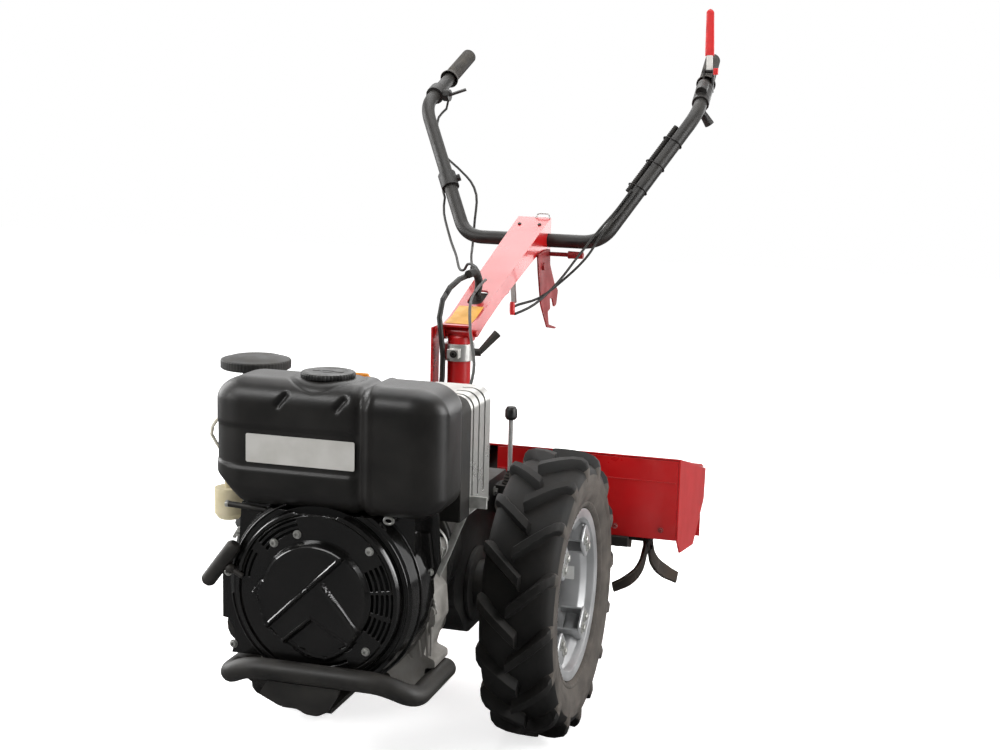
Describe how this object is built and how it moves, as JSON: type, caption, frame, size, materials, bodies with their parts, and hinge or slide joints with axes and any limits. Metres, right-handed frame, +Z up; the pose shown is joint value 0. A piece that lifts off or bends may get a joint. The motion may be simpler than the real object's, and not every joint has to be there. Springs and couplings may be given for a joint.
{
  "type": "two-wheel walking tractor with rotary tiller",
  "caption": "Single-axle walk-behind tractor: front engine, two lugged wheels, swivelling handlebar column and a rear rotary tiller with hood and depth skid.",
  "frame": {"origin": "middle of the bounding box, on the floor that the tyres and the depth skid stand on", "axes": "+Z up, -Y to the front where the engine is, +X to the tractor's left, along the wheel axle"},
  "size_m": [0.874, 1.8102, 1.4599],
  "materials": {
    "tyre": "matte",
    "rim_grey": "satin",
    "dark_steel": "satin",
    "black_housing": "satin",
    "black_iron": "satin",
    "cast_alloy": "satin",
    "black_gloss": "gloss",
    "black_tube": "satin",
    "black_plastic": "satin",
    "rubber_black": "matte",
    "red_paint": "satin",
    "bright_steel": "satin",
    "chrome": "polished",
    "yellow_plastic": "satin",
    "cream_plastic": "satin",
    "red_rubber": "satin",
    "soft_cable": "satin",
    "clear_hose": "satin"
  },
  "bodies": {
    "chassis": {"air_filter_box": "black_plastic", "bumper": "black_tube", "cable_conduit": "black_plastic", "clutch_housing": "black_housing", "column_band": "bright_steel", "column_base": "red_paint", "column_lever": "black_plastic", "crankcase": "cast_alloy", "cylinder_block": "cast_alloy", "depth_skid": "black_tube", "engine_bed": "black_tube", "engine_cables": "soft_cable", "fan_shroud": "black_gloss", "fuel_cap": "black_plastic", "fuel_filter": "cream_plastic", "fuel_hose": "clear_hose", "fuel_tank": "black_plastic", "gear_knob": "black_plastic", "gear_lever": "chrome", "gearbox": "black_housing", "hood_beam_left": "black_tube", "hood_beam_right": "black_tube", "hood_front_left": "red_paint", "hood_front_right": "red_paint", "hood_top": "red_paint", "muffler": "dark_steel", "muffler_guard": "bright_steel", "oil_cap": "yellow_plastic", "pre_cleaner": "black_plastic", "recoil_cover": "black_gloss", "side_plate_left": "red_paint", "side_plate_right": "red_paint", "starter_handle": "black_plastic", "tiller_casing": "black_iron"},
    "wheel_left": {"tyre_left": "tyre", "rim_left": "rim_grey", "wheel_disc_left": "rim_grey", "axle_left": "dark_steel"},
    "wheel_right": {"tyre_right": "tyre", "rim_right": "rim_grey", "wheel_disc_right": "rim_grey", "axle_right": "dark_steel"},
    "tine_rotor": {"tine_rotor": "dark_steel"},
    "rear_flap": {"rear_flap": "red_paint"},
    "column": {"column_head": "red_paint"},
    "handlebars": {"handlebar_arm": "red_paint", "handlebar": "black_tube", "grip_left": "rubber_black", "grip_right": "rubber_black", "throttle_lever": "black_plastic", "clutch_lever": "black_plastic", "lever_cluster": "black_plastic", "bar_clamp": "black_plastic", "cable_sleeve": "black_plastic", "stop_lever": "red_rubber", "hook_bracket": "red_paint", "throttle_cable": "soft_cable", "stop_cable": "soft_cable", "clutch_cable": "soft_cable", "brake_cable": "soft_cable"}
  },
  "joints": [
    {"name": "wheel_left_spin", "type": "hinge", "parent": "chassis", "child": "wheel_left", "pos_m": [0.249, -0.30432, 0.281], "axis": [1, 0, 0], "continuous": true},
    {"name": "wheel_right_spin", "type": "hinge", "parent": "chassis", "child": "wheel_right", "pos_m": [-0.249, -0.30432, 0.281], "axis": [1, 0, 0], "continuous": true},
    {"name": "tine_rotor_spin", "type": "hinge", "parent": "chassis", "child": "tine_rotor", "pos_m": [0, 0.22368, 0.268], "axis": [1, 0, 0], "continuous": true},
    {"name": "rear_flap_lift", "type": "hinge", "parent": "chassis", "child": "rear_flap", "pos_m": [0, 0.38698, 0.401], "axis": [1, 0, 0], "range_deg": [0, 95]},
    {"name": "column_swivel", "type": "hinge", "parent": "chassis", "child": "column", "pos_m": [0, -0.13932, 0.7175], "axis": [0, 0, 1], "range_deg": [-30, 30], "deforming": ["engine_cables", "cable_conduit"]},
    {"name": "handlebar_height", "type": "hinge", "parent": "column", "child": "handlebars", "pos_m": [0, -0.13932, 0.756], "axis": [1, 0, 0], "range_deg": [-12, 14], "deforming": ["engine_cables", "cable_conduit"]}
  ]
}
